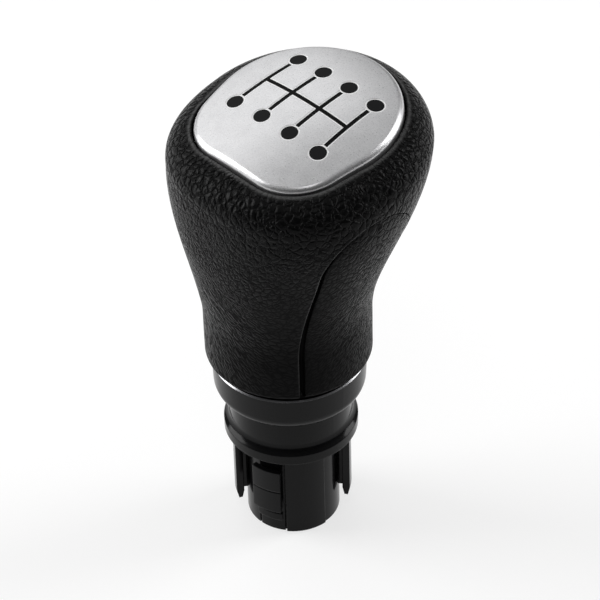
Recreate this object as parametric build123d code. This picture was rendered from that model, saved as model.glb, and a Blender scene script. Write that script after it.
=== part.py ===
from build123d import *
import os
from math import cos, pi, radians, sin

# Gear shift knob with a leather-wrapped head and a reverse lift collar, in millimetres.
# +X is the driver's right, +Y is forward in the car, and +Z runs up the gear lever.
# The origin is on the lever axis, in the plane of the stem's end that the knob stands on.

# Fits
press_gap = 0.03
running_gap = 0.05
seat_gap = 0.15
guide_gap = 0.25

# Gear lever, the bush that takes it and the ring that grips it
lever_diameter = 12.0
bush_wall = 1.6
bush_length = 58.0
bush_mouth_chamfer = 0.6
bush_groove_depth = 0.4
bush_groove_width = 2.0
bush_groove_pitch = 9.0
bush_groove_count = 4
grip_ring_setback = 8.0
grip_ring_width = 2.4
grip_ring_thickness = 0.7
grip_ring_opening = 50.0

# Stem of the core, below the head
stem_wall = 1.3

# Leather head: sections across the lever axis that swell, lean forward and tilt to the driver
hem_z = 45.2
hem_round = 1.1
waist_radius = 18.25
waist_z = 57.0
head_radius = 27.2
widest_z = 97.0
lean = 6.0
lean_start_z = 63.0
lean_end_z = 100.0
head_tilt = 8.0
tilt_start_z = 50.0
shoulder_radius = 7.6
front_squareness = 2.0
rear_squareness = 2.45
squaring_start_z = 66.0
leather_thickness = 1.5
section_points = 12
waist_sections = 2
swell_sections = 7
shoulder_steps = (22, 45, 68, 90)
core_swell_sections = 4
core_shoulder_steps = (45, 90)

# Arch-shaped side panels
arch_middle_y = 1.5
arch_width = 24.4
arch_top_z = 95.0
seam_width = 0.45
arch_inner_x = 4.0

# Domed shift plate and the gate pattern let into it
plate_forward = 1.5
plate_radius = 20.65
plate_side_taper = 9.5
plate_rear = 20.6
plate_corner_radius = 12.5
plate_crown = 3.6
plate_dome_radius = 90.0
plate_rim_radius = 1.2
plate_skirt = 1.5
plate_wall = 1.3
plate_gap = 0.35
gate_columns = 4
front_pitch = 7.65
rear_pitch = 8.25
pattern_forward = 1.0
pattern_half_length = 8.7
dot_radius = 1.83
line_width = 0.95
line_end_gap = 0.35
pattern_depth = 0.5
pattern_border = 0.3
border_depth = 0.12

# Clip legs of the plate
leg_x = 13.0
leg_front_y = 9.0
leg_rear_y = -11.5
leg_width = 4.0
leg_thickness = 1.2
leg_barb = 0.7
leg_barb_height = 1.4

# Carrier tray and its screws
carrier_inset = 0.4
carrier_wall = 1.6
carrier_depth = 4.0
carrier_floor = 1.8
screw_circle_radius = 12.5
screw_count = 3
first_screw_angle = 90.0
screw_shank_radius = 1.25
screw_head_radius = 2.6
screw_head_height = 1.7
screw_length = 9.0
screw_slot = 0.7

# Hollow in the core under the carrier
hollow_radius = 16.5
hollow_foot_radius = 8.0
hollow_depth = 24.0
boss_radius = 3.2
rib_thickness = 1.8
rib_angles = (30, 90, 150)

# Trim cup under the leather
cup_gap = 0.5
cup_top_radius = 17.0
cup_edge = 0.3
cup_side_radius = 16.75
cup_side_z = 38.6
cup_lip_radius = 14.35
cup_lip_z = 35.6
core_rim_inset = 2.5
spigot_radius = 13.3
spigot_wall = 1.4
spigot_height = 2.5

# Lift collar
tube_radius = 10.4
flange_radius = 14.87
flange_z = 24.06
flange_rim = 2.84
flange_edge = 0.25
neck_radius = 13.6
neck_foot_z = 28.9
neck_wall = 1.35
neck_overlap = 1.6
spring_floor_z = 27.5
lift_travel = 5.0
lift_room = 0.8

# Snap hooks under the flange
hook_angle = 47.5
hook_span = 33.0
hook_outer_radius = 13.2
hook_thickness = 1.7
hook_tip_z = 4.2
hook_tip_height = 2.0
hook_tip_taper = 0.45
hook_web_span = 11.0
hook_web_foot_z = 5.2

# Latch tongues between the hooks
latch_angle = -73.0
latch_span = 33.0
latch_outer_radius = 12.2
latch_slot = 0.6
latch_foot_z = 6.8
latch_root = 2.4
latch_height = 11.9
latch_line = 0.25
latch_lip = 0.45
latch_lip_z = 3.2
latch_lip_height = 2.0

# Raised pads and parting grooves on the tube
pad_rise = 0.3
pad_angle = -27.0
pad_span = 51.0
groove_width = 0.4
groove_depth = 0.45
groove_step_z = 8.6
groove_step_angle = 5.5
groove_top_z = 15.0
slit_angle = -88.0
slit_top_z = 3.0

# Retaining ring on the stem's end
ring_z = 1.0
ring_thickness = 1.1
ring_reach = 0.6
ring_bite = 0.7
ring_opening = 36.0

# Return spring and its washer
wire_width = 1.1
spring_turns = 4.0
spring_mean_radius = 10.45
washer_thickness = 0.6
washer_radius = 11.6

# Sizes that follow from those above
bore_radius = lever_diameter / 2
bush_radius = bore_radius + bush_wall
grip_ring_z = bush_length - grip_ring_setback
stem_radius = bush_radius + press_gap + stem_wall
collar_bore_radius = stem_radius + running_gap
cup_top_z = hem_z - cup_gap
cup_bore_radius = neck_radius + guide_gap
neck_top_z = cup_lip_z + neck_overlap
web_underside_z = neck_top_z + lift_travel + lift_room
washer_underside_z = web_underside_z - washer_thickness
ring_top_z = ring_z + ring_thickness
ring_radius = stem_radius + ring_reach
collar_stop_z = ring_top_z + running_gap
hook_inner_radius = hook_outer_radius - hook_thickness
carrier_top = -plate_skirt
carrier_underside = carrier_top - carrier_depth
floor_top = carrier_underside + carrier_floor


def smooth(t):
    """Ramp from 0 to 1 that starts and ends level."""
    t = min(max(t, 0.0), 1.0)
    return t * t * (3 - 2 * t)


def head_plane(z):
    """Section plane of the head at a height on the lever axis, leaning and tilted as the head is."""
    forward = lean * smooth((z - lean_start_z) / (lean_end_z - lean_start_z))
    tilt = radians(head_tilt * smooth((z - tilt_start_z) / (widest_z - tilt_start_z)))
    return Plane(origin=(0, forward, z), x_dir=(1, 0, 0), z_dir=(0, -sin(tilt), cos(tilt)))


def head_outline(plane, radius, squareness):
    """Closed section: round in front, with rear corners squared by the exponent."""
    points = []
    for step in range(section_points):
        angle = 2 * pi * step / section_points
        across = sin(angle)
        along = cos(angle)
        stretch = 1.0
        if along < 0:
            stretch = (abs(across) ** squareness + abs(along) ** squareness) ** (-1 / squareness)
        points.append((radius * stretch * across, radius * stretch * along))
    return plane * make_face(Spline(points, periodic=True))


def head_form(inset, foot_z, heights, shoulder_angles, ruled):
    """Solid of the head, smaller all over by the inset, from a foot up to a rounded shoulder."""
    sections = []
    for z in [foot_z] + heights:
        swell = smooth((z - waist_z) / (widest_z - waist_z))
        radius = waist_radius + (head_radius - waist_radius) * swell - inset
        squared = smooth((z - squaring_start_z) / (widest_z - squaring_start_z))
        squareness = front_squareness + (rear_squareness - front_squareness) * squared
        sections.append(head_outline(head_plane(z), radius, squareness))
    round_radius = shoulder_radius - inset
    for degrees in shoulder_angles:
        turn = radians(degrees)
        plane = head_plane(widest_z).offset(round_radius * sin(turn))
        radius = head_radius - inset - round_radius * (1 - cos(turn))
        sections.append(head_outline(plane, radius, rear_squareness))
    return loft(sections, ruled=ruled)


def spread(low, high, count):
    """Heights spaced evenly from just above low up to high."""
    return [low + (high - low) * (step + 1) / count for step in range(count)]


def ring(outer, inner, low, high):
    """Plain ring round the lever axis."""
    return extrude(Plane.XY.offset(low) * (Circle(outer) - Circle(inner)), high - low)


def sector(outer, inner, middle, span, low, high):
    """Piece of a ring, given by its middle angle and the angle that it spans."""
    reach = 2 * outer
    corners = [(0, 0)]
    for share in (-0.5, 0.0, 0.5):
        angle = radians(middle + share * span)
        corners.append((reach * cos(angle), reach * sin(angle)))
    wedge = make_face(Polyline(corners, close=True))
    face = (Circle(outer) - Circle(inner)) & wedge
    return extrude(Plane.XY.offset(low) * face, high - low)


def open_ring(outer, inner, opening_angle, opening, low, high):
    """Spring ring with a gap, given by the gap's middle angle and span."""
    return ring(outer, inner, low, high) - sector(2 * outer, 0.5 * inner, opening_angle, opening, low, high)


# Plane of the plate's rim: the level top of the leather shoulder, moved forward along itself
rim_plane = head_plane(widest_z).offset(shoulder_radius)
plate_frame = Plane(
    origin=rim_plane.origin + rim_plane.y_dir * plate_forward,
    x_dir=rim_plane.x_dir,
    z_dir=rim_plane.z_dir,
)


def plate_outline(grow=0.0):
    """Plan of the plate: a half disc in front, straight sides that close in, two round rear corners."""
    radius = plate_radius + grow
    rear = plate_rear + grow
    taper = radians(plate_side_taper)
    side = (radius * cos(taper), -radius * sin(taper))
    run = (rear + side[1]) / cos(taper)
    corner = (side[0] - run * sin(taper), -rear)
    front_arc = CenterArc((0, 0), radius, -plate_side_taper, 180 + 2 * plate_side_taper)
    sides = Polyline((-side[0], side[1]), (-corner[0], corner[1]), corner, side)
    plan = make_face([front_arc, sides])
    return fillet(plan.vertices().sort_by(Axis.Y)[:2], plate_corner_radius + grow)


def plate_block(grow, low, high):
    """Prism of the plate's plan in the plate's own frame."""
    return extrude(Plane.XY.offset(low) * plate_outline(grow), high - low)


def dome(depth):
    """Ball whose top lies a depth below the crown of the plate, turned so its seam is far from the plate."""
    return Pos(0, 0, plate_crown - plate_dome_radius) * Rot(90, 0, 0) * Sphere(plate_dome_radius - depth)


def gate_ends(column):
    """Rear and front dot centres of a gate line, counted from the left."""
    step = column - (gate_columns - 1) / 2
    rear = Vector(step * rear_pitch, pattern_forward - pattern_half_length)
    front = Vector(step * front_pitch, pattern_forward + pattern_half_length)
    return rear, front


def bar(start, end, width):
    """Flat bar between two points."""
    middle = (start + end) / 2
    run = end - start
    angle = run.get_signed_angle(Vector(1, 0), Vector(0, 0, -1))
    return Pos(middle.X, middle.Y) * Rot(0, 0, angle) * Rectangle(run.length, width)


def dot_plan(grow=0.0):
    """The dots at both ends of each gate line."""
    plan = Sketch()
    for column in range(gate_columns):
        for place in gate_ends(column):
            plan += Pos(place.X, place.Y) * Circle(dot_radius + grow)
    return plan


def line_plan(grow=0.0):
    """The gate lines, short of their dots, and the line across their middles."""
    plan = Sketch()
    middles = []
    for column in range(gate_columns):
        rear, front = gate_ends(column)
        along = (front - rear).normalized()
        shorten = dot_radius + line_end_gap - grow
        plan += bar(rear + along * shorten, front - along * shorten, line_width + 2 * grow)
        middles.append((rear + front) / 2)
    return plan + bar(middles[0], middles[-1], line_width + 2 * grow)


def inlay(plan, top, bottom):
    """Pattern turned into solids that follow the dome between two depths below its surface."""
    prism = extrude(plan, plate_crown + plate_skirt)
    return (prism & dome(top)) - dome(bottom)


def make_pattern(plan):
    """Black inlay of a part of the pattern, in place in the plate."""
    return plate_frame.location * inlay(plan, running_gap, pattern_depth - press_gap)


def clip_leg(barb_side):
    """Snap leg in its own frame: hangs from the plate and hooks under the carrier's floor."""
    foot = carrier_underside - seat_gap
    tip = foot - leg_barb_height
    half = leg_thickness / 2
    profile = Polyline(
        (-half, plate_crown - plate_wall / 2),
        (half, plate_crown - plate_wall / 2),
        (half, foot),
        (half + leg_barb, foot),
        (half, tip),
        (-half, tip),
        close=True,
    )
    leg = extrude(Plane.XZ * make_face(profile), leg_width / 2, both=True)
    if barb_side < 0:
        leg = mirror(leg, Plane.YZ)
    return leg


def leg_places():
    """Where the legs stand on the plate, with the side that their barbs point to."""
    places = []
    for side in (-1, 1):
        for y in (leg_front_y, leg_rear_y):
            places.append((side * leg_x, y, side))
    return places


def leg_room(side, height):
    """Block of space that a leg passes through with its barb."""
    length = leg_thickness + leg_barb + 2 * guide_gap
    return Pos(side * leg_barb / 2, 0, 0) * Box(length, leg_width + 2 * guide_gap, height)


def make_plate():
    """Hollow domed plate with recesses for the pattern and four legs."""
    body = plate_block(0.0, -plate_skirt, plate_crown + plate_skirt) & dome(0.0)
    rim = [edge for edge in body.edges() if edge.bounding_box().min.Z > -plate_skirt / 2]
    body = fillet(rim, plate_rim_radius)
    body -= plate_block(-plate_wall, -2 * plate_skirt, plate_crown) & dome(plate_wall)
    body -= inlay(dot_plan(), -plate_wall, pattern_depth)
    body -= inlay(line_plan(), -plate_wall, pattern_depth)
    body -= inlay(dot_plan(pattern_border), -plate_wall, border_depth)
    body -= inlay(line_plan(pattern_border), -plate_wall, border_depth)
    for x, y, side in leg_places():
        leg = Pos(x, y, 0) * clip_leg(side)
        body += leg & dome(plate_wall / 2)
    return plate_frame.location * body


def make_carrier():
    """Tray that the plate's rim sits on, with slots for the legs and holes for the screws."""
    tray = plate_block(-carrier_inset, carrier_underside, carrier_top)
    tray -= plate_block(-carrier_inset - carrier_wall, floor_top, plate_crown)
    for x, y, side in leg_places():
        tray -= Pos(x, y, floor_top) * leg_room(side, 4 * carrier_floor)
    for place in PolarLocations(screw_circle_radius, screw_count, start_angle=first_screw_angle):
        tray -= place * Pos(0, 0, floor_top) * Cylinder(screw_shank_radius + guide_gap, 4 * carrier_floor)
    return plate_frame.location * tray


def make_screws():
    """Pan-head screws with a cross slot, through the tray into the core."""
    head = Pos(0, 0, floor_top) * extrude(Circle(screw_head_radius), screw_head_height)
    head = chamfer(head.edges().sort_by(Axis.Z)[-1], screw_head_height / 3)
    slot_z = floor_top + screw_head_height
    for angle in (0, 90):
        head -= Pos(0, 0, slot_z) * Rot(0, 0, angle) * Box(screw_head_radius, screw_slot, screw_head_height)
    shank = Pos(0, 0, floor_top - screw_length) * extrude(Circle(screw_shank_radius), screw_length)
    shank = chamfer(shank.edges().sort_by(Axis.Z)[0], screw_shank_radius / 2)
    screw = head + shank
    places = PolarLocations(screw_circle_radius, screw_count, start_angle=first_screw_angle)
    return Compound([plate_frame.location * place * screw for place in places])


def make_leather():
    """Leather cover: the main panel and the two arch-shaped side panels."""
    outer_heights = spread(hem_z, waist_z, waist_sections) + spread(waist_z, widest_z, swell_sections)
    outer = head_form(0.0, hem_z, outer_heights, shoulder_steps, ruled=False)
    outer = fillet(outer.edges().sort_by(Axis.Z)[0], hem_round)
    shell = outer - core_form(hem_z - hem_round, 0.0)
    shell -= plate_frame.location * plate_block(plate_gap, -2 * shoulder_radius, 2 * plate_crown)
    arch = arch_prism(0.0)
    main = shell - arch - mirror(arch, Plane.YZ)
    right = shell & arch_prism(-seam_width)
    return main, right, mirror(right, Plane.YZ)


def core_form(foot_z, gap):
    """Outside of the core, a gap inside the leather."""
    heights = [waist_z] + spread(waist_z, widest_z, core_swell_sections)
    return head_form(leather_thickness + gap, foot_z, heights, core_shoulder_steps, ruled=True)


def arch_prism(grow):
    """Arch on the right flank, seen along X, run out through the leather."""
    half = arch_width / 2 + grow
    spring_z = arch_top_z - arch_width / 2
    foot_z = hem_z - 2 * hem_round
    plan = Pos(arch_middle_y, spring_z) * Circle(half)
    plan += Pos(arch_middle_y, (foot_z + spring_z) / 2) * Rectangle(2 * half, spring_z - foot_z)
    return extrude(Plane.YZ.offset(arch_inner_x) * plan, 2 * head_radius)


def make_core():
    """Core under the leather, with its stem, the bush bore, the carrier seat and the hollow below it."""
    core = core_form(hem_z, press_gap)
    core += extrude(Plane.XY.offset(cup_top_z) * Circle(waist_radius - core_rim_inset), 2 * cup_gap)
    core += extrude(Circle(stem_radius), hem_z)
    core -= ring(2 * stem_radius, stem_radius - ring_bite, ring_z - running_gap, ring_top_z + running_gap)
    core -= extrude(Circle(bush_radius + press_gap), bush_length + press_gap)
    spigot_groove = ring(
        spigot_radius + seat_gap,
        spigot_radius - spigot_wall - seat_gap,
        cup_top_z,
        cup_top_z + spigot_height + seat_gap,
    )
    core -= spigot_groove
    seat = plate_block(seat_gap - carrier_inset, carrier_underside, 2 * plate_crown)
    core -= plate_frame.location * seat
    core -= plate_frame.location * core_hollow()
    for place in PolarLocations(screw_circle_radius, screw_count, start_angle=first_screw_angle):
        pilot = extrude(Circle(screw_shank_radius + press_gap), screw_length)
        core -= plate_frame.location * place * Pos(0, 0, floor_top - screw_length) * pilot
    return core


def core_hollow():
    """Space under the carrier, round the screw bosses and between the ribs, with room for the legs."""
    middle = carrier_underside - hollow_depth / 2
    space = Pos(0, 0, middle) * Cone(hollow_foot_radius, hollow_radius, hollow_depth)
    for place in PolarLocations(screw_circle_radius, screw_count, start_angle=first_screw_angle):
        space -= place * Pos(0, 0, middle) * Cylinder(boss_radius, 2 * hollow_depth)
    for angle in rib_angles:
        rib = Rot(0, 0, angle) * Box(2 * hollow_radius, rib_thickness, 2 * hollow_depth)
        space -= Pos(0, 0, middle) * rib
    for x, y, side in leg_places():
        space += Pos(x, y, carrier_underside) * leg_room(side, 2 * (leg_barb_height + 2 * seat_gap))
    return space


def make_bush():
    """Sleeve for the lever, grooved outside to hold in the moulding and inside for the grip ring."""
    bush = ring(bush_radius, bore_radius, 0.0, bush_length)
    mouth = bush.edges().filter_by(GeomType.CIRCLE).sort_by(Axis.Z)[:2]
    bush = chamfer(mouth.sort_by(SortBy.RADIUS)[0], bush_mouth_chamfer)
    for count in range(bush_groove_count):
        low = bush_groove_pitch * (count + 1)
        bush -= ring(2 * bush_radius, bush_radius - bush_groove_depth, low, low + bush_groove_width)
    bush -= ring(
        bore_radius + grip_ring_thickness + running_gap,
        bore_radius / 2,
        grip_ring_z - running_gap,
        grip_ring_z + grip_ring_width + running_gap,
    )
    return bush


def make_grip_ring():
    """Open spring ring that sits in the bush's inner groove."""
    return open_ring(
        bore_radius + grip_ring_thickness,
        bore_radius + running_gap,
        -90.0,
        grip_ring_opening,
        grip_ring_z,
        grip_ring_z + grip_ring_width,
    )


def make_cup():
    """Trim ring with an upright side, rounded in below, a web round the stem and a spigot into the core."""
    edge_z = cup_top_z - cup_edge
    side = (cup_side_radius - cup_top_radius, cup_side_z - edge_z)
    outline = [
        Line((cup_lip_radius, cup_lip_z), (cup_bore_radius, cup_lip_z)),
        Line((cup_bore_radius, cup_lip_z), (cup_bore_radius, web_underside_z)),
        Line((cup_bore_radius, web_underside_z), (stem_radius + seat_gap, web_underside_z)),
        Line((stem_radius + seat_gap, web_underside_z), (stem_radius + seat_gap, cup_top_z)),
        Line((stem_radius + seat_gap, cup_top_z), (cup_top_radius - cup_edge, cup_top_z)),
        Line((cup_top_radius - cup_edge, cup_top_z), (cup_top_radius, edge_z)),
        Line((cup_top_radius, edge_z), (cup_side_radius, cup_side_z)),
        TangentArc((cup_side_radius, cup_side_z), (cup_lip_radius, cup_lip_z), tangent=side),
    ]
    cup = revolve(Plane.XZ * make_face(outline), Axis.Z)
    return cup + ring(spigot_radius, spigot_radius - spigot_wall, cup_top_z, cup_top_z + spigot_height)


def collar_blank():
    """Turned form of the lift collar: tube, flange with a hollow upper face, and neck."""
    rim_top_z = flange_z + flange_rim
    bend = ((flange_radius + 2 * neck_radius) / 3, (neck_foot_z + 2 * rim_top_z) / 3)
    outline = [
        Polyline(
            (tube_radius, 0),
            (tube_radius, flange_z),
            (flange_radius - flange_edge, flange_z),
            (flange_radius, flange_z + flange_edge),
            (flange_radius, rim_top_z - flange_edge),
            (flange_radius - flange_edge, rim_top_z),
        ),
        ThreePointArc((flange_radius - flange_edge, rim_top_z), bend, (neck_radius, neck_foot_z)),
        Polyline(
            (neck_radius, neck_foot_z),
            (neck_radius, neck_top_z),
            (neck_radius - neck_wall, neck_top_z),
            (neck_radius - neck_wall, spring_floor_z),
            (collar_bore_radius, spring_floor_z),
            (collar_bore_radius, collar_stop_z),
            (ring_radius + seat_gap, collar_stop_z),
            (ring_radius + seat_gap, 0),
            (tube_radius, 0),
        ),
    ]
    return revolve(Plane.XZ * make_face(outline), Axis.Z)


def snap_hook(angle):
    """Arm that hangs from the flange on a narrow web, with a tip tapered on both faces."""
    arm = sector(hook_outer_radius, hook_inner_radius, angle, hook_span, hook_tip_z, flange_z)
    high = hook_tip_z + hook_tip_height
    for face, away in ((hook_outer_radius, 1), (hook_inner_radius, -1)):
        clear = face + away * hook_thickness
        flare = Polyline(
            (face - away * hook_tip_taper, hook_tip_z),
            (face, high),
            (clear, high),
            (clear, hook_tip_z),
            close=True,
        )
        arm -= revolve(Plane.XZ * make_face(flare), Axis.Z)
    web = sector(
        hook_inner_radius + seat_gap,
        tube_radius - seat_gap,
        angle,
        hook_web_span,
        hook_web_foot_z,
        flange_z,
    )
    return arm + web


def latch(angle):
    """Tongue joined to the tube at its foot, open behind, with a line across and a lip below."""
    top = latch_foot_z + latch_height
    tongue = sector(latch_outer_radius, tube_radius - seat_gap, angle, latch_span, latch_foot_z, top)
    tongue -= sector(
        tube_radius + latch_slot,
        tube_radius - 2 * seat_gap,
        angle,
        2 * latch_span,
        latch_foot_z + latch_root,
        flange_z,
    )
    line_z = latch_foot_z + latch_height / 2
    tongue -= ring(2 * latch_outer_radius, latch_outer_radius - latch_line, line_z, line_z + latch_line)
    lip = sector(
        tube_radius + latch_lip,
        tube_radius - seat_gap,
        angle,
        latch_span,
        latch_lip_z,
        latch_lip_z + latch_lip_height,
    )
    return tongue + lip


def groove(angle, low, high):
    """Thin upright groove in the tube."""
    width = groove_width / tube_radius * 180 / pi
    return sector(tube_radius + 2 * pad_rise, tube_radius - groove_depth, angle, width, low, high)


def make_collar():
    """Lift collar with its pads, hooks, latches and parting grooves, alike on opposite sides."""
    collar = collar_blank()
    for turn in (0, 180):
        collar += sector(
            tube_radius + pad_rise,
            tube_radius - seat_gap,
            pad_angle + turn,
            pad_span,
            0.0,
            flange_z,
        )
        edge = pad_angle + turn - pad_span / 2
        collar -= groove(edge, 0.0, groove_step_z)
        collar -= groove(edge - groove_step_angle, groove_step_z, groove_top_z)
        collar -= groove(slit_angle + turn, 0.0, slit_top_z)
        collar += latch(latch_angle + turn)
        collar += snap_hook(hook_angle + turn)
    return collar


def make_retaining_ring():
    """Open ring in the stem's groove, which the collar rests on."""
    return open_ring(
        ring_radius,
        stem_radius - ring_bite + running_gap,
        90.0,
        ring_opening,
        ring_z,
        ring_top_z,
    )


def make_spring():
    """Compression spring of square wire between the collar's floor and the washer."""
    low = spring_floor_z + wire_width / 2 + running_gap
    high = washer_underside_z - wire_width / 2 - running_gap
    rise = high - low
    path = Pos(0, 0, low) * Helix(rise / spring_turns, rise, spring_mean_radius)
    section = Plane(path @ 0, x_dir=(1, 0, 0), z_dir=path % 0) * Rectangle(wire_width, wire_width)
    return sweep(section, path=path, is_frenet=True)


leather_main, leather_right, leather_left = make_leather()
nodes = {
    "shift_plate": make_plate(),
    "pattern_dots": make_pattern(dot_plan(-press_gap)),
    "pattern_lines": make_pattern(line_plan(-press_gap)),
    "plate_carrier": make_carrier(),
    "carrier_screws": make_screws(),
    "leather_main": leather_main,
    "leather_side_right": leather_right,
    "leather_side_left": leather_left,
    "knob_core": make_core(),
    "lower_trim_ring": make_cup(),
    "lift_collar": make_collar(),
    "return_spring": make_spring(),
    "spring_washer": ring(washer_radius, stem_radius + seat_gap, washer_underside_z, web_underside_z),
    "collar_retaining_ring": make_retaining_ring(),
    "lever_bush": make_bush(),
    "lever_grip_ring": make_grip_ring(),
}
os.makedirs("parts", exist_ok=True)
for name, solid in nodes.items():
    export_step(solid, f"parts/{name}.step")
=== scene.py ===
import math

import bmesh
import bpy
import numpy as np
from mathutils import Matrix, Vector


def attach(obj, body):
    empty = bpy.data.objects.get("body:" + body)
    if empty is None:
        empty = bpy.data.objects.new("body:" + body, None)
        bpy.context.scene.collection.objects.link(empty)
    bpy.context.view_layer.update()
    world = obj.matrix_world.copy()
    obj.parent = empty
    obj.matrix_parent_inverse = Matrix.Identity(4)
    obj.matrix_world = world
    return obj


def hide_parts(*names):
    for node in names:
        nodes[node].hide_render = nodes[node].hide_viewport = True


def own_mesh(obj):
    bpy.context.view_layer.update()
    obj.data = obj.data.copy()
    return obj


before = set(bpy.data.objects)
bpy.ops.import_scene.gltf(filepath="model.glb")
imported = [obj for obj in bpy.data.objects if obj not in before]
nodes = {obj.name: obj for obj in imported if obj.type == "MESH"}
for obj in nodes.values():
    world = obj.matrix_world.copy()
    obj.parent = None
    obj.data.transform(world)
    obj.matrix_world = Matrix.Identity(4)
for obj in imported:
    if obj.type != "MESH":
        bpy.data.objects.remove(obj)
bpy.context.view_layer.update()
MM = 0.001

# Shape of the head in millimetres, as the solids have it, with the hem lifted to show the gap over the cup
SOLID_HEM_Z = 45.2
HEM_LIFT = 0.9
HEM_Z = SOLID_HEM_Z + HEM_LIFT
HEM_ROUND = 1.1
WAIST_R = 18.25
WAIST_Z = 57.0
HEAD_R = 27.2
WIDEST_Z = 97.0
LEAN = 6.0
LEAN_Z = (63.0, 100.0)
TILT = math.radians(8.0)
TILT_Z = (50.0, WIDEST_Z)
SHOULDER_R = 7.6
ROUND_POWER = 2.0
REAR_POWER = 2.45
SQUARE_Z = (66.0, WIDEST_Z)

# Arch-shaped side panels
ARCH_Y = 1.5
ARCH_HALF = 12.2
ARCH_TOP_Z = 95.0
SPRING_Z = ARCH_TOP_Z - ARCH_HALF

# Cup under the leather
CUP_GAP = 0.5
CUP_TOP_Z = SOLID_HEM_Z - CUP_GAP
CUP_R = 17.0
CUP_BEVEL = 0.3

# Plate
PLATE_FORWARD = 1.5
PLATE_R = 20.65
PLATE_TAPER = math.radians(9.5)
PLATE_REAR = 20.6
PLATE_CORNER_R = 12.5
PLATE_CROWN = 3.6
DOME_R = 90.0
RIM_R = 1.2
SKIRT = 1.5
PLATE_GAP = 0.35

# Gate pattern
GATES = 4
FRONT_PITCH = 7.65
REAR_PITCH = 8.25
PATTERN_FORWARD = 1.0
PATTERN_HALF = 8.7
DOT_R = 1.83
LINE_W = 0.95
LINE_END_GAP = 0.35
BORDER = 0.3
BORDER_DEPTH = 0.1
BORDER_SLOPE = 0.03


def ease(value, start, end):
    """Runs from 0 at the start to 1 at the end, level at both."""
    share = np.clip((value - start) / (end - start), 0.0, 1.0)
    return share * share * (3.0 - 2.0 * share)


def bell(offset, width):
    """1 in the middle, falling off on both sides within about the width."""
    return np.exp(-((offset / width) ** 2))


def section(theta, z, radius, rise=0.0, inset=0.0):
    """Points of the head's section at a lever height, raised off it and set in from its outline."""
    lean = LEAN * ease(z, *LEAN_Z)
    tilt = TILT * ease(z, *TILT_Z)
    reach = radius * rear_stretch(theta, z) - inset
    across, along = np.sin(theta) * reach, np.cos(theta) * reach
    y = lean + along * np.cos(tilt) - rise * np.sin(tilt)
    return np.stack([across, y, z + along * np.sin(tilt) + rise * np.cos(tilt)], axis=-1)


def rear_stretch(theta, z):
    """How far the squared rear corners stand out beyond a circle."""
    power = ROUND_POWER + (REAR_POWER - ROUND_POWER) * ease(z, *SQUARE_Z)
    corner = (np.abs(np.sin(theta)) ** power + np.abs(np.cos(theta)) ** power) ** (-1.0 / power)
    return np.where(np.cos(theta) < 0, corner, 1.0)


def plate_outline(grow, front=160, corner=60, side=24):
    """Plan of the plate, grown by an offset, as points in the plate's own frame, anticlockwise."""
    radius, rear, bend = PLATE_R + grow, PLATE_REAR + grow, PLATE_CORNER_R + grow
    arc = np.linspace(-PLATE_TAPER, math.pi + PLATE_TAPER, front)
    points = [np.stack([radius * np.cos(arc), radius * np.sin(arc)], -1)]
    centre_y = bend - rear
    centre_x = (radius - bend + math.sin(PLATE_TAPER) * centre_y) / math.cos(PLATE_TAPER)
    turn = np.linspace(math.pi + PLATE_TAPER, 1.5 * math.pi, corner)
    left = np.stack([-centre_x + bend * np.cos(turn), centre_y + bend * np.sin(turn)], -1)
    right = left[::-1] * [-1, 1]
    points += [between(points[0][-1], left[0], side), left]
    points += [between(left[-1], right[0], side), right, between(right[-1], points[0][0], side)]
    return np.concatenate(points)


def between(start, end, count):
    """Points evenly spaced between two others, without the ends."""
    share = np.linspace(0, 1, count + 2)[1:-1, None]
    return start * (1 - share) + end * share


# Frame of the plate: its centre, and the directions forward and up
TOP_LEAN = float(LEAN * ease(WIDEST_Z, *LEAN_Z))
PLATE_UP = np.array([0.0, -math.sin(TILT), math.cos(TILT)])
PLATE_AHEAD = np.array([0.0, math.cos(TILT), math.sin(TILT)])
PLATE_AT = np.array([0.0, TOP_LEAN, WIDEST_Z]) + PLATE_UP * SHOULDER_R + PLATE_AHEAD * PLATE_FORWARD


def on_plate(plan, height):
    """Points of the plate's frame, put in the part's frame."""
    out = PLATE_AT + plan[..., 1:2] * PLATE_AHEAD + np.asarray(height)[..., None] * PLATE_UP
    out[..., 0] += plan[..., 0]
    return out


def make_object(name, points, faces, body, materials, face_material=None):
    """Mesh object from points in millimetres, riding on a body."""
    mesh = bpy.data.meshes.new(name)
    mesh.from_pydata((np.asarray(points) * MM).tolist(), [], np.asarray(faces).tolist())
    for material in materials:
        mesh.materials.append(material)
    mesh.polygons.foreach_set("use_smooth", np.ones(len(mesh.polygons), bool))
    if face_material is not None:
        mesh.polygons.foreach_set("material_index", np.asarray(face_material, np.int32))
    mesh.update()
    piece = bpy.data.objects.new(name, mesh)
    bpy.context.scene.collection.objects.link(piece)
    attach(piece, body)
    return piece


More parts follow.
